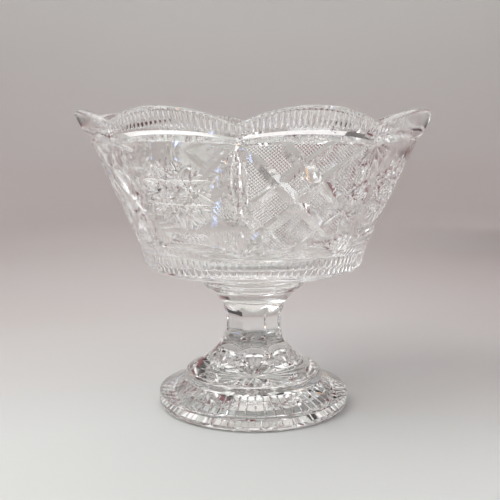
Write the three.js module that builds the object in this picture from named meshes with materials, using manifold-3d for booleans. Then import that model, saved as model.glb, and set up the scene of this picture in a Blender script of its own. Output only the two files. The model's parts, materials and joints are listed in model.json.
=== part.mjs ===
// Punch bowl of cut lead crystal: a scalloped bowl that rests on a separate pedestal stand.
// Millimetres, +Z up. The origin is the centre of the stand's foot, on the table.
// Angles run round from the front (-Y) towards +X.

import * as THREE from 'three';
import { mergeVertices } from 'three/addons/utils/BufferGeometryUtils.js';
import Module from 'manifold-3d';

const wasm = await Module();
wasm.setup();

// Driving dimensions of the whole object
const totalHeight = 200.5;          // table to the crown of a scallop
const sides = 8;                    // scallops, stem facets and mitre columns
const segments = 64;                // facets round each turned piece, eight to a side
const bowlTurn = -6.5;              // degrees that the bowl happens to sit turned on its stand

// Stand
const footRadius = 66;              // widest point of the foot
const footRestInner = 52;           // inside of the flat ring that the foot stands on
const footRestOuter = 63;
const footHollow = 3;               // depth of the hollow under the foot
const footEdgeHeight = 10;          // top of the foot's rounded edge
const footEdgeRadius = 64;
const stepRadius = 47;              // raised step between the foot and the dome
const stepBottom = 17.6;
const stepTop = 24;
const stemFlat = 18.5;              // centre to a facet of the eight-sided stem
const stemBottom = 55;
const stemTop = 62;
const calyxBottom = 71;             // where the stem opens into the round cup under the bowl
const collarRadius = 34.4;
const seatHeight = 85.2;            // flat top of the stand
const socketRadius = 25;            // round recess in the stand's top
const socketDepth = 3;

// Bowl
const seatGap = 0.3;                // bowl's foot ring over the stand's flat top
const spigotRadius = 24.4;          // locating disc under the bowl, loose in the recess
const spigotDepth = 2.6;
const footRingRadius = 34.6;
const footRingHeight = 5;
const baseRadius = 73.6;            // turn from the underside to the wall
const baseHeight = 99;
const baseCurve = { r: 76.8, z: 111.8 };      // on the line of the wall, so that the base runs into it
const wallBottom = { r: 81.6, z: 122.3 };
const wallTop = { r: 108.4, z: 181.1 };
const grooveRoot = { r: 105.8, z: 185 };      // bottom of the deep mitre under the rim band
const bandBottom = { r: 112.2, z: 187.2 };
const rimRadius = 118.2;
const rimRound = 1.6;               // rounded edges of the rim
const rimThickness = 7.4;
const wallThickness = 9.6;          // measured level, not square to the wall
const floorHeight = 102.5;
const floorRadius = 58;
const floorCurve = { r: 66.5, z: 106.5 };     // rounding between the floor and the inner wall
const scallopDepth = 10.7;          // crown of a scallop to the notch beside it
const scallopStart = 170;           // height where the wall begins to rise and fall with the scallops
const rimSlope = 0.5;               // outward run of the rim band for each millimetre of rise
const columnWidth = 7;              // vertical mitre that parts one panel from the next
const columnDepth = 2.2;
const columnBottom = { r: 78.2, z: 104 };      // out of the wall, so that the cut runs out softly

const sideAngle = 2 * Math.PI / sides;

// How far an angle is from the middle of its side
function fromMiddle(angle, firstMiddle) {
    const turned = (angle - firstMiddle) / sideAngle;
    return (turned - Math.round(turned)) * sideAngle;
}

// A closed turned body. shapeVertex moves each point of the turned surface a little, to make
// facets or scallops out of the round.
function turn(outline, shapeVertex) {
    const geometry = new THREE.LatheGeometry(outline, segments);
    const position = geometry.attributes.position;
    for (let i = 0; i < position.count; i += 1) {
        const column = Math.floor(i / outline.length) % segments;
        const angle = column * 2 * Math.PI / segments;
        const point = outline[i % outline.length];
        const { r, z } = shapeVertex(point.x, point.y, angle);
        position.setXYZ(i, r * Math.sin(angle), z, r * Math.cos(angle));
    }
    geometry.rotateX(Math.PI / 2);
    return geometry;
}

// three.js geometry to a manifold solid, leaving out the flat triangles on the axis
function toSolid(geometry) {
    const bare = geometry.clone();
    bare.deleteAttribute('normal');
    bare.deleteAttribute('uv');
    const merged = mergeVertices(bare, 1e-4);
    const index = merged.index.array;
    const triangles = [];
    for (let i = 0; i < index.length; i += 3) {
        const [a, b, c] = [index[i], index[i + 1], index[i + 2]];
        if (a !== b && b !== c && c !== a) triangles.push(a, b, c);
    }
    const mesh = new wasm.Mesh({
        numProp: 3,
        vertProperties: new Float32Array(merged.attributes.position.array),
        triVerts: new Uint32Array(triangles),
    });
    return new wasm.Manifold(mesh);
}

function toGeometry(solid) {
    const mesh = solid.getMesh();
    const geometry = new THREE.BufferGeometry();
    geometry.setAttribute('position', new THREE.BufferAttribute(new Float32Array(mesh.vertProperties), 3));
    geometry.setIndex(new THREE.BufferAttribute(new Uint32Array(mesh.triVerts), 1));
    geometry.computeVertexNormals();
    return geometry;
}

// Outline of the stand from the middle of its hollow, out, up, and in to the recess in its top
function standOutline() {
    const path = new THREE.Path();
    path.moveTo(0, footHollow);
    path.lineTo(footRestInner - 4, footHollow);
    path.lineTo(footRestInner, 0);
    path.lineTo(footRestOuter, 0);
    path.quadraticCurveTo(footRadius - 0.6, 0.6, footRadius, 5);
    path.quadraticCurveTo(footRadius - 0.2, footEdgeHeight - 1, footEdgeRadius, footEdgeHeight);
    path.lineTo(stepRadius + 0.4, stepBottom);
    path.lineTo(stepRadius, stepTop - 2);
    path.quadraticCurveTo(stepRadius - 0.4, stepTop, stepRadius - 2.5, stepTop);
    path.bezierCurveTo(36, 28.5, stemFlat + 6, 36, stemFlat + 1, 48);
    path.lineTo(stemFlat, stemBottom);
    path.lineTo(stemFlat, stemTop);
    path.bezierCurveTo(stemFlat + 0.6, 68, 25, 76, collarRadius - 1.6, 81.6);
    path.quadraticCurveTo(collarRadius, 83, collarRadius, 84);
    path.lineTo(collarRadius - 0.8, seatHeight);
    path.lineTo(socketRadius, seatHeight);
    path.lineTo(socketRadius, seatHeight - socketDepth);
    path.lineTo(0, seatHeight - socketDepth);
    return path.getPoints(4);
}

// The stem is eight-sided: full facets along its waist, fading out into the dome and the calyx
function facetStem(r, z, angle) {
    const fadeIn = THREE.MathUtils.smoothstep(z, stepTop + 10, stemBottom - 8);
    const fadeOut = 1 - THREE.MathUtils.smoothstep(z, stemTop + 4, calyxBottom + 2);
    const facet = 1 / Math.cos(fromMiddle(angle, 0));
    return { r: r * (1 + (facet - 1) * fadeIn * fadeOut), z };
}

// Outline of the bowl at the crown of a scallop, from under its spigot round to its floor
function bowlOutline() {
    const bottom = seatHeight + seatGap;
    const rimInner = rimRadius - rimThickness;
    const path = new THREE.Path();
    path.moveTo(0, bottom - spigotDepth);
    path.lineTo(spigotRadius, bottom - spigotDepth);
    path.lineTo(spigotRadius, bottom);
    path.lineTo(footRingRadius - 1.2, bottom);
    path.quadraticCurveTo(footRingRadius + 0.4, bottom + 2, footRingRadius - 0.8, bottom + footRingHeight);
    path.lineTo(footRingRadius + 2, bottom + footRingHeight + 1);
    path.lineTo(baseRadius - 7.6, baseHeight - 4.4);
    path.quadraticCurveTo(baseRadius - 1.6, baseHeight - 3, baseRadius, baseHeight);
    path.quadraticCurveTo(baseCurve.r, baseCurve.z, wallBottom.r, wallBottom.z);
    path.lineTo(wallTop.r, wallTop.z);
    path.lineTo(grooveRoot.r, grooveRoot.z);
    path.lineTo(bandBottom.r, bandBottom.z);
    path.lineTo(rimRadius, totalHeight - rimRound);
    path.lineTo(rimRadius - rimRound, totalHeight);
    path.lineTo(rimInner + rimRound, totalHeight);
    path.lineTo(rimInner, totalHeight - rimRound);
    path.lineTo(wallTop.r - wallThickness, wallTop.z);
    path.lineTo(wallBottom.r - wallThickness, wallBottom.z);
    path.quadraticCurveTo(floorCurve.r, floorCurve.z, floorRadius, floorHeight + 1);
    path.lineTo(0, floorHeight);
    return path.getPoints(3);
}

// Drop of the rim below the crown of a scallop: each scallop is an arc of a circle
function scallopDrop(angle) {
    const halfChord = rimRadius * sideAngle / 2;
    const arcRadius = (halfChord ** 2 + scallopDepth ** 2) / (2 * scallopDepth);
    const along = rimRadius * fromMiddle(angle, sideAngle / 2);
    return arcRadius - Math.sqrt(arcRadius ** 2 - along ** 2);
}

// The rim follows the scallops in full, the mitre under it in part, and the lower wall not at all.
// Points slide along the slope of the wall, so the bowl stays a plain cone with a scalloped edge.
function scallopRim(r, z, angle) {
    const height = Math.max(0, (z - scallopStart) / (totalHeight - scallopStart));
    const drop = scallopDrop(angle) * height ** 1.6;
    return { r: r - drop * rimSlope, z: z - drop };
}

// V-shaped cutter that lies along the wall at one angle
function columnCutter(angle) {
    const rise = wallTop.z - columnBottom.z;
    const out = wallTop.r - columnBottom.r;
    const proud = 2;                // the cutter stands this far out of the wall
    const half = columnWidth / 2 * (1 + proud / columnDepth);
    const section = new THREE.Shape();
    section.moveTo(-columnDepth, 0);
    section.lineTo(proud, -half);
    section.lineTo(proud, half);
    section.closePath();
    const geometry = new THREE.ExtrudeGeometry(section, { depth: Math.hypot(rise, out), bevelEnabled: false });
    geometry.rotateY(Math.atan2(out, rise));
    geometry.translate(columnBottom.r, 0, columnBottom.z);
    geometry.rotateZ(angle - Math.PI / 2);
    return geometry;
}

function makeStand() {
    return toSolid(turn(standOutline(), facetStem));
}

function makeBowl() {
    let solid = toSolid(turn(bowlOutline(), scallopRim));
    for (let side = 0; side < sides; side += 1) {
        solid = solid.subtract(toSolid(columnCutter(side * sideAngle)));
    }
    return solid;
}

// Clear polished lead crystal; the two pieces are of one melt and look alike
function crystal() {
    return new THREE.MeshStandardMaterial({
        color: 0xeeeeec,
        roughness: 0.04,
        metalness: 0,
        transparent: true,
        opacity: 0.4,
    });
}

function piece(name, solid) {
    const mesh = new THREE.Mesh(toGeometry(solid), crystal());
    mesh.name = name;
    return mesh;
}

const stand = piece('pedestal_stand', makeStand());
const bowl = piece('bowl', makeBowl());
bowl.rotation.z = THREE.MathUtils.degToRad(bowlTurn);

const punchBowl = new THREE.Group();
punchBowl.add(stand, bowl);

export default punchBowl;
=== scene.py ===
# Cut crystal punch bowl on its pedestal stand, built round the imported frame.
# Shapes are worked out in millimetres, as a cutter would mark them, and made in metres.
import json
import math
import bpy
import numpy as np
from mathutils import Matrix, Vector

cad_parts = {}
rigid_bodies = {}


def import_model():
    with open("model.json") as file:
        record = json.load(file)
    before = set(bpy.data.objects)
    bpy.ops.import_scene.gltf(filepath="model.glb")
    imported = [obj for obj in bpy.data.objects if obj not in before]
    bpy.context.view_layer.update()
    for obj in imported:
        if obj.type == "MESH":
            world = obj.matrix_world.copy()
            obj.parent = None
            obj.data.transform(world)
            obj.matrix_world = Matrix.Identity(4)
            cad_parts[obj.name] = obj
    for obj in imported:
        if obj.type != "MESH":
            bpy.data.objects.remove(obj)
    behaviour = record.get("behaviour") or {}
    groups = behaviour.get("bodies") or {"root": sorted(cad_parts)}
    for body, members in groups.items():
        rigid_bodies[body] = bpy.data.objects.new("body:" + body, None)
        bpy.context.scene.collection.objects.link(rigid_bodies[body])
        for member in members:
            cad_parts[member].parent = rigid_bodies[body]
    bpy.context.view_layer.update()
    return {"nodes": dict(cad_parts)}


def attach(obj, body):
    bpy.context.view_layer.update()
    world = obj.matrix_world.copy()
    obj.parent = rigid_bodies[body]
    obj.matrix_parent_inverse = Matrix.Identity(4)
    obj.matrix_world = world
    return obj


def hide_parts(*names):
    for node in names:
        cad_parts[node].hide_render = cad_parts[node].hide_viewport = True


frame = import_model()
scene = bpy.context.scene
print("frame loaded:", sorted(frame["nodes"]))

mm = 0.001
sides = 8                                   # scallops, panels and stem facets
sideAngle = 2 * math.pi / sides
bowlTurn = math.radians(-6.5)               # how the loose bowl happens to sit on its stand
crispAngle = 18                             # degrees between faces that makes an edge crisp


def polar(radius, azimuth, height):         # azimuth 0 is the front (-Y), growing towards +X
    return Vector((radius * math.sin(azimuth), -radius * math.cos(azimuth), height))


def bezier(points, steps):                  # points of the curve after its first
    curve = []
    for i in range(1, steps + 1):
        row = [Vector(p) for p in points]
        while len(row) > 1:
            row = [a.lerp(b, i / steps) for a, b in zip(row, row[1:])]
        curve.append(tuple(row[0]))
    return curve


def outline(start, moves):                  # a move is a number of steps and its control points
    points = [start]
    for steps, *controls in moves:
        points += bezier([points[-1]] + controls, steps)
    return points


def smoothstep(x, low, high):
    t = min(1.0, max(0.0, (x - low) / (high - low)))
    return t * t * (3 - 2 * t)


def fromMiddle(angle, firstMiddle):         # how far an angle is from the middle of its side
    turned = (angle - firstMiddle) / sideAngle
    return (turned - round(turned)) * sideAngle


def makeMesh(name, verts, faces, turned=0.0):
    mesh = bpy.data.meshes.new(name)
    cosine, sine = math.cos(turned), math.sin(turned)
    placed = [
        ((x * cosine - y * sine) * mm, (x * sine + y * cosine) * mm, z * mm) for x, y, z in verts]
    mesh.from_pydata(placed, [], faces)
    mesh.update()
    return mesh


def turnBody(points, segments, shape):      # closed lathe whose points shape() can move
    verts, rings = [], []
    for r, z in points:
        if r < 1e-6:
            rings.append([len(verts)] * segments)
            verts.append((0.0, 0.0, z))
            continue
        rings.append(list(range(len(verts), len(verts) + segments)))
        for j in range(segments):
            azimuth = 2 * math.pi * j / segments
            verts.append(tuple(polar(*place(shape(r, z, azimuth), azimuth))))
    faces = []
    for low, high in zip(rings, rings[1:]):
        for j in range(segments):
            k = (j + 1) % segments
            corners = [low[j], low[k], high[k], high[j]]
            faces.append(tuple(dict.fromkeys(corners)))
    return verts, faces


def place(radiusAndHeight, azimuth):
    return radiusAndHeight[0], azimuth, radiusAndHeight[1]


def skin(track, measure, shape, facing=1):  # gives spot(azimuth, along): surface point and normal
    keys = [measure(r, z) for r, z in track]
    radii = [r for r, z in track]
    heights = [z for r, z in track]

    def on(azimuth, along):
        r = float(np.interp(along, keys, radii))
        z = float(np.interp(along, keys, heights))
        return polar(*place(shape(r, z, azimuth), azimuth))

    def spot(azimuth, along):
        step = 0.05
        low = max(keys[0], along - step)
        high = min(keys[-1], along + step)
        across = on(azimuth + 1e-3, along) - on(azimuth - 1e-3, along)
        up = on(azimuth, high) - on(azimuth, low)
        return on(azimuth, along), across.cross(up).normalized() * facing
    return spot


def vee(halfWidth, depth, proud=2.0):       # section of a mitre wheel, its root at y = 0
    top = depth + proud
    wide = halfWidth * top / depth
    return [(0, 0), (wide, top), (-wide, top)]


def hollow(halfWidth, depth, proud=1.5, steps=6):    # section of a round-edged wheel
    radius = (halfWidth ** 2 + depth ** 2) / (2 * depth)
    reach = math.asin(min(1.0, halfWidth / radius))
    arc = []
    for i in range(-steps, steps + 1):
        angle = reach * i / steps
        arc.append((radius * math.sin(angle), radius - radius * math.cos(angle)))
    right, left = arc[-1], arc[0]
    return arc + [(right[0] * 1.25, depth + proud), (left[0] * 1.25, depth + proud)]


def sweep(spots, depths, section):          # moves a section along a path of surface spots
    count = len(section)
    verts = []
    last = len(spots) - 1
    for i, (point, outward) in enumerate(spots):
        along = spots[min(i + 1, last)][0] - spots[max(i - 1, 0)][0]
        sideways = along.cross(outward).normalized()
        for x, y in section:
            verts.append(tuple(point + sideways * x + outward * (y - depths[i])))
    faces = [tuple(range(count)), tuple(reversed(range(last * count, (last + 1) * count)))]
    for i in range(last):
        for j in range(count):
            a = i * count + j
            b = i * count + (j + 1) % count
            faces.append((a, a + count, b + count, b))
    return verts, faces


def wheelDepths(spots, depth, startTaper, endTaper, rounded=True, lift=0.25):    # ends run out
    lengths = [0.0]
    for (a, _), (b, _) in zip(spots, spots[1:]):
        lengths.append(lengths[-1] + (b - a).length)
    depths = []
    for length in lengths:
        toStart = 1.0 if not startTaper else min(1.0, length / startTaper)
        toEnd = 1.0 if not endTaper else min(1.0, (lengths[-1] - length) / endTaper)
        rise = 1 - (1 - toStart) ** 2 if rounded else toStart
        depths.append(-lift + (depth + lift) * rise * (1 - (1 - toEnd) ** 2))
    return depths


def cutAlong(spots, depth, section, startTaper=0.0, endTaper=0.0, rounded=True):
    return sweep(spots, wheelDepths(spots, depth, startTaper, endTaper, rounded), section)


def cutAway(piece, cutters, turned=0.0):
    tools = bpy.data.collections.new("wheels")
    scene.collection.children.link(tools)
    for verts, faces in cutters:
        tools.objects.link(bpy.data.objects.new("wheel", makeMesh("wheel", verts, faces, turned)))
    modifier = piece.modifiers.new("cuts", "BOOLEAN")
    modifier.operation = "DIFFERENCE"
    modifier.solver = "MANIFOLD"
    modifier.operand_type = "COLLECTION"
    modifier.collection = tools
    shown = piece.evaluated_get(bpy.context.evaluated_depsgraph_get())
    cut = bpy.data.meshes.new_from_object(shown)
    piece.modifiers.clear()
    piece.data = cut
    for wheel in list(tools.objects):
        bpy.data.meshes.remove(wheel.data)
    bpy.data.collections.remove(tools)
    print(piece.name, "cuts:", len(cutters), "faces:", len(cut.polygons))


def finishEdges(piece, degrees):            # cut edges stay crisp, turned surfaces are smooth
    piece.data.shade_smooth()
    piece.data.set_sharp_from_angle(angle=math.radians(degrees))


bowl = {
    "height": 200.5, "rim": 118.2,
    "scallopDepth": 10.7, "scallopStart": 170.0, "rimSlope": 0.5,
    "segments": 416,
}
cone = {"foot": (81.6, 122.3), "run": 26.8, "rise": 58.8}   # the wall is a plain cone
cone["halfAngle"] = math.atan(cone["run"] / cone["rise"])
cone["apex"] = cone["foot"][1] - cone["foot"][0] * cone["rise"] / cone["run"]
cone["sine"] = math.sin(cone["halfAngle"])
cone["cosine"] = math.cos(cone["halfAngle"])


def scallopDrop(angle):
    halfChord = bowl["rim"] * sideAngle / 2
    arcRadius = (halfChord ** 2 + bowl["scallopDepth"] ** 2) / (2 * bowl["scallopDepth"])
    along = bowl["rim"] * fromMiddle(angle, sideAngle / 2)
    return arcRadius - math.sqrt(arcRadius ** 2 - along ** 2)


def scallopRim(r, z, azimuth):
    height = max(0.0, (z - bowl["scallopStart"]) / (bowl["height"] - bowl["scallopStart"]))
    drop = scallopDrop(azimuth) * height ** 1.6
    return r - drop * bowl["rimSlope"], z - drop


bowlOuter = outline((73.6, 99.0), [
    (12, (76.8, 111.8), (81.6, 122.3)),
    (24, (108.4, 181.1)),
    (3, (105.8, 185.0)),
    (3, (112.2, 187.2)),
    (8, (118.2, 198.9)),
])
bowlPoints = outline((0.0, 82.9), [
    (4, (24.4, 82.9)), (2, (24.4, 85.5)), (2, (33.4, 85.5)),
    (6, (35.0, 87.5), (33.8, 90.5)), (2, (36.6, 91.5)),
    (8, (66.0, 94.6)), (6, (72.0, 96.0), (73.6, 99.0)),
]) + bowlOuter[1:] + outline(bowlOuter[-1], [
    (3, (118.2, 200.0), (116.6, 200.5)), (3, (112.4, 200.5)), (3, (110.8, 200.4), (110.8, 198.9)),
    (6, (98.8, 181.1)), (16, (72.0, 122.3)), (10, (66.5, 106.5), (58.0, 103.5)),
    (8, (0.0, 102.5)),
])[1:]
wall = skin(bowlOuter, lambda r, z: z, scallopRim)


def developed(middle, x, y):                # flat pattern of the cone, y measured up from its apex
    slant = math.hypot(x, y)
    turn = math.atan2(x, y) / cone["sine"]
    return middle + turn, cone["apex"] + slant * cone["cosine"]


def through(nodes, steps):                  # smooth curve through marked points
    path = []
    for i in range(len(nodes) - 1):
        a, b, c = nodes[max(i - 1, 0)], nodes[i], nodes[i + 1]
        d = nodes[min(i + 2, len(nodes) - 1)]
        for step in range(steps):
            t = step / steps
            path.append(tuple(0.5 * (
                2 * b[j] + (c[j] - a[j]) * t + (2 * a[j] - 5 * b[j] + 4 * c[j] - d[j]) * t ** 2
                + (3 * b[j] - a[j] - 3 * c[j] + d[j]) * t ** 3) for j in (0, 1)))
    return path + [nodes[-1]]


def wallPath(middle, nodes, steps=6):
    return [wall(*developed(middle, x, y)) for x, y in through(nodes, steps)]


def clipped(start, end, inside, samples=240):    # the part of a straight line that is on a panel
    kept = []
    for i in range(samples + 1):
        t = i / samples
        point = (start[0] + (end[0] - start[0]) * t, start[1] + (end[1] - start[1]) * t)
        if inside(*point):
            kept.append(point)
    return (kept[0], kept[-1]) if len(kept) > samples // 40 else None


def turnedBy(origin, distance, degrees):    # a point at a distance and bearing from another
    angle = math.radians(degrees)
    return origin[0] + distance * math.cos(angle), origin[1] + distance * math.sin(angle)


def handed(hand, nodes):                    # nodes as they are, or mirrored for the left hand
    return nodes if hand > 0 else [(-x, y) for x, y in nodes]


panel = {"bottom": 117.0, "top": 180.5, "columnHalf": 4.0}


def onPanel(x, y):
    azimuth, height = developed(0.0, x, y)
    edge = (sideAngle / 2 - abs(azimuth)) * math.hypot(x, y) * cone["sine"]
    return panel["bottom"] < height < panel["top"] and edge > panel["columnHalf"]


lattice = {
    "mitres": (                             # nodes on the flat pattern, half width, two tapers
        (((-41.5, 258.5), (-15.7, 234.7), (-2.0, 221.7), (15.8, 204.5), (28.0, 193.0)),
         5.7, 26.0, 16.0),
        (((-18.0, 260.5), (-2.6, 246.2), (9.8, 235.0), (31.0, 215.5)), 5.6, 7.0, 10.0),
        (((-31.5, 215.5), (-18.8, 204.1), (-7.0, 193.0)), 2.8, 5.0, 6.0),
        (((-29.0, 190.0), (-18.8, 204.1), (-2.0, 221.7), (9.8, 235.0), (40.5, 258.5)),
         5.2, 12.0, 28.0),
        (((-32.0, 215.0), (-15.7, 234.7), (-2.6, 246.2), (15.5, 261.0)), 4.8, 8.0, 7.0),
        (((-3.0, 188.5), (15.8, 204.5), (31.0, 214.5)), 2.9, 6.0, 6.0),
    ),
    "flank": 0.36,                          # depth of a mitre for each millimetre of half width
    "pitch": 1.6, "hatchDepth": 0.78,       # millimetres between hatch lines, and how deep they go
    "hatchSlopes": (-0.93, 1.0), "hatchLevel": 222.0, "hatchTaper": 1.2,
    "reach": 48.0, "rise": 75,              # half width and half height that the lines may cover
}


def latticeCuts(middle):
    cuts = []
    for nodes, halfWidth, startTaper, endTaper in lattice["mitres"]:
        depth = halfWidth * lattice["flank"]
        cuts.append(cutAlong(
            wallPath(middle, nodes), depth, vee(halfWidth, depth), startTaper, endTaper))
    across, hatchDepth = lattice["reach"], lattice["hatchDepth"]
    for slope in lattice["hatchSlopes"]:
        pitch = lattice["pitch"] * math.hypot(1.0, slope)
        lines = int(lattice["rise"] / pitch)
        for line in range(-lines, lines + 1):
            level = lattice["hatchLevel"] + pitch * line
            start = (-across, level - slope * across)
            ends = clipped(start, (across, level + slope * across), onPanel)
            if ends:
                hatch = vee(lattice["pitch"] * 0.49, hatchDepth, 1.0)    # leaves a hair of land
                steps = 3 + int(math.dist(*ends) / 5)
                taper = lattice["hatchTaper"]
                cuts.append(cutAlong(
                    wallPath(middle, ends, steps), hatchDepth, hatch, taper, taper))
    return cuts


hobstar = {                                 # a kind of cut is its half width and depth
    "centre": (-0.7, 228.0), "tips": 10, "skip": 4, "radius": 25.5,
    "line": (1.35, 1.1), "dart": (2.7, 1.5), "dartFrom": 12.5, "dartTo": 26.5,
    "crossed": (1.3, 0.9), "crossedFrom": 16.0, "crossedTo": 23.5,
    "rosette": 7.6, "rays": 20, "ray": (0.55, 0.75),
    "slant": (1.3, 1.0), "slants": 9, "slantFrom": -15.0, "slantPitch": 3.3,
    "leaf": ((-25.0, 189.5), (-10.0, 191.8), (8.0, 191.8), (22.0, 189.8)),
    "patch": (0.85, 0.7), "patchLines": 5, "patchFrom": 21.5, "patchPitch": 1.9,
    "facet": ((20.5, 238.0), (31.5, 235.0)),        # broad and flat, out to the column
    "lowerFacet": ((27.0, 227.0), (33.5, 215.0)),
    "cusp": (41.6, 257.6),                  # where a fan springs from the panel's upper corner
    "cuspTips": ((24.0, 254.2), (26.6, 248.6), (30.6, 243.0), (34.4, 238.6)),
}


def veeCut(middle, nodes, steps, size, startTaper, endTaper, proud=2.0):
    halfWidth, depth = size
    wheel = vee(halfWidth, depth, proud)
    return cutAlong(wallPath(middle, nodes, steps), depth, wheel, startTaper, endTaper)


def starCuts(middle):
    cuts = []
    centre, radius = hobstar["centre"], hobstar["radius"]
    tipAngle = 360 // hobstar["tips"]
    for tip in range(hobstar["tips"]):
        bearing = 90 - tipAngle * tip
        far = turnedBy(centre, radius, bearing - tipAngle * hobstar["skip"])
        line = (turnedBy(centre, radius, bearing), far)
        cuts.append(veeCut(middle, line, 14, hobstar["line"], 9.0, 9.0))
        dart = tuple(turnedBy(centre, hobstar[end], bearing) for end in ("dartFrom", "dartTo"))
        cuts.append(veeCut(middle, dart, 8, hobstar["dart"], 5.0, 11.0))
        gap = bearing - tipAngle // 2       # small crossed strokes between two points
        for side in (-1, 1):
            near = turnedBy(centre, hobstar["crossedFrom"], gap + side * 5)
            stroke = (near, turnedBy(centre, hobstar["crossedTo"], gap - side * 6))
            cuts.append(veeCut(middle, stroke, 6, hobstar["crossed"], 3.0, 3.0, 1.0))
    for ray in range(hobstar["rays"]):
        bearing = 360 * (ray + 0.5) / hobstar["rays"]
        petal = (turnedBy(centre, 0.6, bearing), turnedBy(centre, hobstar["rosette"], bearing))
        cuts.append(veeCut(middle, petal, 8, hobstar["ray"], 3.0, 0.8, 1.0))
    for slant in range(hobstar["slants"]):  # slanting row over the polished leaf
        x = hobstar["slantFrom"] + hobstar["slantPitch"] * slant
        stroke = ((x - 3.4, 202.0), (x + 4.4, 194.2))
        cuts.append(veeCut(middle, stroke, 6, hobstar["slant"], 3.0, 3.0, 1.0))
    leafPath = wallPath(middle, hobstar["leaf"], 8)
    cuts.append(cutAlong(leafPath, 1.2, hollow(2.6, 1.2), 16.0, 16.0))
    cuspX, cuspY = hobstar["cusp"]
    for hand in (1, -1):
        for tipX, tipY in hobstar["cuspTips"]:      # fan from the upper corner of the panel
            bend = ((cuspX + tipX) / 2 + 0.4, (cuspY + tipY) / 2 + 0.6)
            nodes = handed(hand, (hobstar["cusp"], bend, (tipX, tipY)))
            cuts.append(veeCut(middle, nodes, 6, (1.7, 1.1), 11.0, 3.5))
        for line in range(hobstar["patchLines"]):   # hatched patch beside the lower points
            x = hobstar["patchFrom"] + hobstar["patchPitch"] * line
            nodes = handed(hand, ((x, 219.5), (x + 3.0, 210.5)))
            cuts.append(veeCut(middle, nodes, 6, hobstar["patch"], 1.5, 1.5, 1.0))
        facet = handed(hand, hobstar["facet"])
        cuts.append(veeCut(middle, facet, 6, (4.4, 1.0), 8.0, 3.0))
        lowerFacet = handed(hand, hobstar["lowerFacet"])
        cuts.append(veeCut(middle, lowerFacet, 6, (3.0, 1.1), 4.0, 4.0))
    return cuts


column = {
    "spine": ((0.0, 260.0), (0.0, 206.0)),
    "edge": ((0.6, 258.0), (3.4, 247.0), (4.7, 235.0), (3.2, 222.0), (0.8, 212.0)),
    "crossings": ((224.0, 7.0), (212.0, 5.5)),      # level and half length
    "fanRoot": (0.0, 185.5), "fanReach": 19.0, "fanAngle": 21,
}


def columnCuts(azimuth):                    # upright leaf between two panels, fan at its foot
    cuts = [veeCut(azimuth, column["spine"], 20, (2.0, 1.6), 16.0, 10.0)]
    for hand in (-1, 1):
        edge = [(hand * x, y) for x, y in column["edge"]]
        cuts.append(veeCut(azimuth, edge, 6, (1.5, 1.1), 12.0, 10.0))
        for level, reach in column["crossings"]:
            stroke = ((-hand * reach, level - 5.0), (hand * reach, level + 5.0))
            cuts.append(veeCut(azimuth, stroke, 8, (2.1, 1.3), 5.0, 5.0))
    root = column["fanRoot"]
    for ray in range(-3, 4):
        tip = turnedBy(root, column["fanReach"] - abs(ray) * 1.2, 90 + column["fanAngle"] * ray)
        cuts.append(veeCut(azimuth, (root, tip), 10, (1.7, 1.3), 12.0, 4.0))
    return cuts


baseFlutes = {"perSide": 13, "from": 99.2, "rise": 11.6, "halfWidth": 1.65, "depth": 0.9,
              "tapers": (0.0, 2.4)}
rimFlutes = {"perSide": 27, "from": 188.0, "rise": 10.8, "halfWidth": 1.62, "depth": 1.0,
             "tapers": (2.5, 0.0)}


def bowlCuts():
    cuts = []
    for side in range(sides):
        middle = (side + 0.5) * sideAngle
        cuts += latticeCuts(middle) if side % 2 == 0 else starCuts(middle)
        cuts += columnCuts(side * sideAngle)
    for band in (baseFlutes, rimFlutes):
        count = band["perSide"] * sides
        depth = band["depth"]
        for flute in range(count):
            azimuth = 2 * math.pi * (flute + 0.5) / count
            spots = [wall(azimuth, band["from"] + band["rise"] * i / 8) for i in range(9)]
            cuts.append(cutAlong(spots, depth, hollow(band["halfWidth"], depth), *band["tapers"]))
    return cuts


def addPiece(name, verts, faces, turned=0.0):
    piece = bpy.data.objects.new(name, makeMesh(name, verts, faces, turned))
    scene.collection.objects.link(piece)
    return piece


bowlBody = turnBody(bowlPoints, bowl["segments"], scallopRim)
bowlPiece = addPiece("bowl_cut_crystal", *bowlBody, bowlTurn)
cutAway(bowlPiece, bowlCuts(), bowlTurn)
finishEdges(bowlPiece, crispAngle)
print("bowl cut")


stand = {
    "stemBottom": 55.0, "stemTop": 62.0, "domeTop": 34.0, "calyxBottom": 73.0,
    "segments": 384,
}
standPoints = outline((0.0, 3.0), [
    (8, (48.0, 3.0)), (2, (52.0, 0.0)), (3, (63.0, 0.0)),
    (4, (65.4, 0.2), (66.0, 2.2)), (4, (65.5, 9.0)), (3, (65.3, 9.9), (64.4, 10.0)),
    (10, (47.4, 17.6)), (3, (47.0, 22.0)), (5, (46.6, 24.0), (44.5, 24.0)),
    (24, (36.0, 28.5), (24.5, 36.0), (19.5, 48.0)), (3, (18.5, 55.0)), (4, (18.5, 62.0)),
    (16, (19.1, 68.0), (25.0, 76.0), (32.8, 81.6)), (4, (34.4, 83.0), (34.4, 84.0)),
    (2, (33.6, 85.2)), (3, (25.0, 85.2)), (2, (25.0, 82.2)), (6, (0.0, 82.2)),
])


def facetStem(r, z, azimuth):
    fadeIn = smoothstep(z, stand["domeTop"], stand["stemBottom"] - 8)
    fadeOut = 1 - smoothstep(z, stand["stemTop"] + 4, stand["calyxBottom"])
    return r * (1 + (1 / math.cos(fromMiddle(azimuth, 0.0)) - 1) * fadeIn * fadeOut), z


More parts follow.
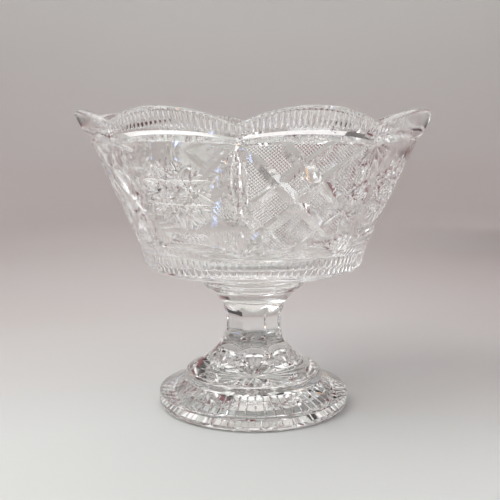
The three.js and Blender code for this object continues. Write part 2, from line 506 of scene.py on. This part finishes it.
footTrack = outline((46.0, 18.3), [(6, (64.4, 10.0)), (2, (65.5, 9.0))])
footTop = skin(footTrack, lambda r, z: r, facetStem, -1)
domeTrack = outline((44.5, 24.0), [
    (24, (36.0, 28.5), (24.5, 36.0), (19.5, 48.0)), (3, (18.5, 55.0)), (4, (18.5, 62.0))])
dome = skin(domeTrack, lambda r, z: z, facetStem)
underside = skin([(4.0, 3.0), (47.5, 3.0)], lambda r, z: r, lambda r, z, azimuth: (r, z))
starOnDome = {
    "height": 27.9, "slope": 0.6,           # slope: height gained for each millimetre up the dome
    "flank": 0.6,                           # depth of a wedge for each millimetre of half width
    "wedges": (                             # bearing in degrees, reach and half width
        (38, 15.5, 3.3), (142, 15.5, 3.3), (-32, 12.0, 3.0), (-148, 12.0, 3.0), (-90, 6.0, 2.2),
        (90, 21.0, 2.4), (63, 21.5, 2.4), (117, 21.5, 2.4)),
}
footRibs = {
    "count": 64, "from": 47.8, "run": 17.2, "depth": 0.8,
    "section": [(0.3, 0.42), (0.75, 0.8), (1.5, 1.05), (2.2, 1.15), (2.2, 3.0)],
}
footStar = {"rays": 24, "from": 5.0, "run": 26.0, "halfWidth": 2.2, "depth": 1.3}   # guessed
waistTeeth = {"low": (3.4, 14.0), "high": (3.0, 22.0), "halfWidth": 1.6, "depth": 0.9}


def domeStroke(azimuth, start, end, steps=8):    # ends are across and up from the star's centre
    spots = []
    for i in range(steps + 1):
        t = i / steps
        across = start[0] + (end[0] - start[0]) * t
        up = start[1] + (end[1] - start[1]) * t
        height = starOnDome["height"] + up * starOnDome["slope"]
        radius = float(np.interp(height, [z for r, z in domeTrack], [r for r, z in domeTrack]))
        spots.append(dome(azimuth + across / radius, height))
    return spots


def standCuts():
    cuts = []
    half = footRibs["section"]              # a wheel that leaves rounded ribs standing
    quill = [(0, 0)] + half + [(-x, y) for x, y in reversed(half)]
    for rib in range(footRibs["count"]):
        azimuth = 2 * math.pi * rib / footRibs["count"]
        spots = [footTop(azimuth, footRibs["from"] + footRibs["run"] * i / 12) for i in range(13)]
        cuts.append(cutAlong(spots, footRibs["depth"], quill, 0.0, 1.2))
    for ray in range(footStar["rays"]):
        azimuth = 2 * math.pi * (ray + 0.5) / footStar["rays"]
        radii = [footStar["from"] + footStar["run"] * i / 10 for i in range(11)]
        wheel = vee(footStar["halfWidth"], footStar["depth"])
        spots = [underside(azimuth, radius) for radius in radii]
        cuts.append(cutAlong(spots, footStar["depth"], wheel, 12.0, 10.0))
    for side in range(sides):
        azimuth = side * sideAngle
        for bearing, reach, halfWidth in starOnDome["wedges"]:
            ray = domeStroke(azimuth, (0.0, 0.0), turnedBy((0.0, 0.0), reach, bearing))
            depth = halfWidth * starOnDome["flank"]
            cuts.append(cutAlong(ray, depth, vee(halfWidth, depth), reach, 1.5, False))
        for tooth in (-1, 0, 1):            # short strokes under the waist of the stem
            ends = [(tooth * across, up) for across, up in (waistTeeth["low"], waistTeeth["high"])]
            stroke = domeStroke(azimuth + sideAngle / 2, *ends)
            depth = waistTeeth["depth"]
            cuts.append(cutAlong(stroke, depth, vee(waistTeeth["halfWidth"], depth), 6.0, 1.0))
    return cuts


standPiece = addPiece("stand_cut_crystal", *turnBody(standPoints, stand["segments"], facetStem))
cutAway(standPiece, standCuts())
finishEdges(standPiece, crispAngle)
print("stand cut")


def linear(hexColour):                      # sRGB hex to the linear values that shaders use
    values = []
    for i in (0, 2, 4):
        v = int(hexColour[i:i + 2], 16) / 255
        values.append(v / 12.92 if v <= 0.04045 else ((v + 0.055) / 1.055) ** 2.4)
    return (*values, 1.0)


def newMaterial(name):
    material = bpy.data.materials.new(name)
    material.use_nodes = True
    return material, material.node_tree.nodes["Principled BSDF"]


def addNode(material, kind, settings=None, **links):   # links: input name -> output socket or value
    node = material.node_tree.nodes.new(kind)
    for key, value in (settings or {}).items():
        setattr(node, key, value)
    for key, value in links.items():
        socket = node.inputs[key.replace("_", " ")]
        if isinstance(value, bpy.types.NodeSocket):
            material.node_tree.links.new(value, socket)
        else:
            socket.default_value = value
    return node


blown = {                                   # metres, as the shader sees them
    "softness": 0.06, "radius": 0.0768, "height": 0.1223, "floor": 0.114,
    "slope": cone["run"] / cone["rise"],
}


def calculate(material, operation, first, *others):      # others: output socket or value
    node = addNode(material, "ShaderNodeMath", {"operation": operation}, Value=first)
    for socket, value in zip(list(node.inputs)[1:], others):
        if isinstance(value, bpy.types.NodeSocket):
            material.node_tree.links.new(value, socket)
        else:
            socket.default_value = value
    return node.outputs[0]


def insideSoftness(material, coords):       # blown inner wall, a touch softer than the cut one
    parts = addNode(material, "ShaderNodeSeparateXYZ", {}, Vector=coords.outputs["Object"])
    height = parts.outputs["Z"]
    flat = addNode(material, "ShaderNodeCombineXYZ", {}, X=parts.outputs["X"], Y=parts.outputs["Y"])
    length = {"operation": "LENGTH"}
    radius = addNode(material, "ShaderNodeVectorMath", length, Vector=flat.outputs["Vector"])
    slope = blown["slope"]                  # line through the middle of the wall
    middle = calculate(
        material, "MULTIPLY_ADD", height, slope, blown["radius"] - blown["height"] * slope)
    inside = calculate(material, "LESS_THAN", radius.outputs["Value"], middle)
    above = calculate(material, "GREATER_THAN", height, blown["floor"])
    both = calculate(material, "MULTIPLY", inside, above)
    return calculate(material, "MULTIPLY", both, blown["softness"])


melt = {                                    # index typical of lead crystal, waves of the acid bath
    "index": 1.545, "waveScale": 60.0, "waveStrength": 0.04, "waveHeight": 0.0005,
}


# Lead crystal, wheel cut and acid polished: clear body, hard glints at every cut edge, and the
# room bent into light and dark slivers
def leadCrystal(name, tint, blownInside=False):
    material, shader = newMaterial(name)
    shader.inputs["Base Color"].default_value = linear(tint)
    shader.inputs["Transmission Weight"].default_value = 1.0
    shader.inputs["IOR"].default_value = melt["index"]
    coords = addNode(material, "ShaderNodeTexCoord")
    shader.inputs["Roughness"].default_value = 0.0
    if blownInside:
        material.node_tree.links.new(insideSoftness(material, coords), shader.inputs["Roughness"])
    where, scale = coords.outputs["Object"], melt["waveScale"]
    swirl = addNode(material, "ShaderNodeTexNoise", {}, Vector=where, Scale=scale, Detail=2.0)
    bump = addNode(material, "ShaderNodeBump", {}, Height=swirl.outputs["Fac"])
    bump.inputs["Strength"].default_value = melt["waveStrength"]
    bump.inputs["Distance"].default_value = melt["waveHeight"]
    material.node_tree.links.new(bump.outputs["Normal"], shader.inputs["Normal"])
    return material


bowlPiece.data.materials.clear()
bowlPiece.data.materials.append(leadCrystal("acid_polished_lead_crystal_bowl", "fefefd", True))
standPiece.data.materials.clear()
standPiece.data.materials.append(leadCrystal("acid_polished_lead_crystal_stand", "fefefd"))

for piece, node, slot, body in (
    (bowlPiece, "bowl", "bowl_crystal", "bowl"),
    (standPiece, "pedestal_stand", "stand_crystal", "stand"),
):
    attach(piece, body)
    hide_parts(node)
print("crystal done")


def matte(name, colour):
    material, shader = newMaterial(name)
    shader.inputs["Base Color"].default_value = linear(colour)
    shader.inputs["Roughness"].default_value = 0.9
    return material


def paintedShadePaper():                        # matte pale paper, with light and shade painted into its colour: bright in front of the bowl, soft painted shade away from it
    material, shader = newMaterial("paper_with_painted_shade")
    coords = addNode(material, "ShaderNodeTexCoord")
    moved = addNode(material, "ShaderNodeVectorMath", {"operation": "SUBTRACT"})
    material.node_tree.links.new(coords.outputs["Object"], moved.inputs[0])
    moved.inputs[1].default_value = (0.0, -0.35, 0.0)   # painted light is brightest just in front of the bowl
    length = {"operation": "LENGTH"}
    away = addNode(material, "ShaderNodeVectorMath", length, Vector=moved.outputs["Vector"])
    share = calculate(material, "DIVIDE", away.outputs["Value"], 2.6)   # metres the ramp covers
    ramp = addNode(material, "ShaderNodeValToRGB", {}, Fac=share)
    # these stops paint the shade: paler near the bowl, greyer further out, lighter again high on
    # the far wall
    paintedShadeStops = (
        (0.0, "f1f2ee"), (0.12, "eeefec"), (0.17, "e3e1df"), (0.25, "d6d0ce"), (0.42, "cac2c0"),
        (0.6, "c6bcbb"), (0.8, "c8bfbe"), (0.9, "d6d1d0"), (0.96, "e4e6e2"))
    for i, (position, colour) in enumerate(paintedShadeStops):
        stop = ramp.color_ramp.elements[i] if i < 2 else ramp.color_ramp.elements.new(position)
        stop.position = position
        stop.color = linear(colour)
    material.node_tree.links.new(ramp.outputs["Color"], shader.inputs["Base Color"])
    shader.inputs["Roughness"].default_value = 0.9
    return material


def cyclorama():                            # floor that sweeps up into a round wall
    track = outline((0.0, 0.0), [
        (12, (1400.0, 0.0)), (16, (2000.0, 0.0), (2000.0, 700.0)), (6, (2000.0, 2200.0))])
    verts, faces = turnBody(track, 96, lambda r, z, azimuth: (r, z))
    floor = addPiece("floor_sweep", verts, [tuple(reversed(face)) for face in faces])
    floor.location.z = -0.0002
    floor.data.shade_smooth()
    floor.data.materials.append(paintedShadePaper())


def card(name, size, position, target, colour, glow=0.0):    # board hidden from the camera
    half = Vector(size) * 0.5
    signs = ((-1, -1), (1, -1), (1, 1), (-1, 1))
    corners = [(half.x * across, half.y * up, 0) for across, up in signs]
    mesh = bpy.data.meshes.new(name)
    mesh.from_pydata(corners, [], [(0, 1, 2, 3)])
    board = bpy.data.objects.new(name, mesh)
    scene.collection.objects.link(board)
    board.location = position
    board.rotation_euler = (Vector(target) - Vector(position)).to_track_quat("-Z", "Y").to_euler()
    board.visible_camera = False
    material = matte(name + "_board", colour)
    if glow:
        shader = material.node_tree.nodes["Principled BSDF"]
        shader.inputs["Emission Color"].default_value = linear(colour)
        shader.inputs["Emission Strength"].default_value = glow
    mesh.materials.append(material)


def softbox(name, size, position, target, power, colour):
    data = bpy.data.lights.new(name, "AREA")
    data.shape = "RECTANGLE"
    data.size, data.size_y = size
    data.energy = power
    data.color = linear(colour)[:3]
    lamp = bpy.data.objects.new(name, data)
    scene.collection.objects.link(lamp)
    lamp.location = position
    lamp.rotation_euler = (Vector(target) - Vector(position)).to_track_quat("-Z", "Y").to_euler()
    lamp.visible_camera = False


cyclorama()
softbox("key_left", (1.0, 1.0), (-0.9, -0.3, 1.1), (0, 0, 0.12), 12.5, "f6fcff")
softbox("warm_glint", (0.06, 0.25), (-0.55, -0.75, 0.75), (0, 0, 0.12), 0.35, "ffc680")
softbox("cool_glint", (0.06, 0.25), (0.7, -0.55, 0.7), (0, 0, 0.12), 0.35, "8fb4ff")
card("dim_room", (2.4, 1.0), (0.0, -1.25, 0.75), (0, 0, 0.15), "4a4140")
card("bounce_ceiling", (2.2, 2.2), (0.0, 0.0, 1.6), (0, 0, 0.15), "dcdad8", 0.7)
card("back_glow", (1.7, 0.45), (0.0, 1.3, 0.95), (0, 0, 0.15), "fdfdfd", 0.62)
card("dim_left_back", (0.6, 0.8), (-0.9, 0.33, 0.44), (0, 0, 0.15), "3a3030")
card("dim_right_back", (0.75, 0.8), (0.73, 0.64, 0.44), (0, 0, 0.15), "3a3030")
card("dim_left", (0.7, 0.7), (-0.95, -0.1, 0.37), (0, 0, 0.15), "3a3030")
card("dim_right", (0.7, 0.7), (0.95, -0.1, 0.37), (0, 0, 0.15), "3a3030")
card("maroon_left", (0.3, 0.42), (-0.6, 0.42, 0.24), (0, 0, 0.15), "8a2430")
card("maroon_right", (0.52, 0.42), (0.62, 0.45, 0.24), (0, 0, 0.15), "8a2430")
card("maroon_side_left", (0.25, 0.35), (-0.8, 0.0, 0.3), (0, 0, 0.15), "8a2430")
card("maroon_side_right", (0.4, 0.4), (0.8, 0.0, 0.3), (0, 0, 0.15), "8a2430")
card("maroon_front", (0.3, 0.3), (-0.35, -1.0, 0.45), (0, 0, 0.15), "7a1f28")

world = bpy.data.worlds.new("studio")
scene.world = world
world.use_nodes = True
world.node_tree.nodes["Background"].inputs["Color"].default_value = linear("ffffff")
world.node_tree.nodes["Background"].inputs["Strength"].default_value = 1.1

viewpoint = {
    "distance": 0.5377, "height": 0.1842, "turn": -1.5, "pitch": 8.25, "pan": 0.25, "lens": 56.8,
}
camera = bpy.data.objects.new("camera", bpy.data.cameras.new("camera"))
scene.collection.objects.link(camera)
camera.data.lens = viewpoint["lens"]
camera.data.sensor_width = 36.0
camera.data.clip_start = 0.01
turn = math.radians(viewpoint["turn"])
camera.location = polar(viewpoint["distance"], turn, viewpoint["height"])
camera.rotation_euler = (
    math.radians(90 - viewpoint["pitch"]), 0.0, math.radians(viewpoint["turn"] + viewpoint["pan"]))
scene.camera = camera
scene.view_settings.view_transform = "Standard"
scene.cycles.max_bounces = 24
scene.cycles.transmission_bounces = 24
scene.cycles.glossy_bounces = 24            # light is trapped in the cuts for many turns
print("stage set")
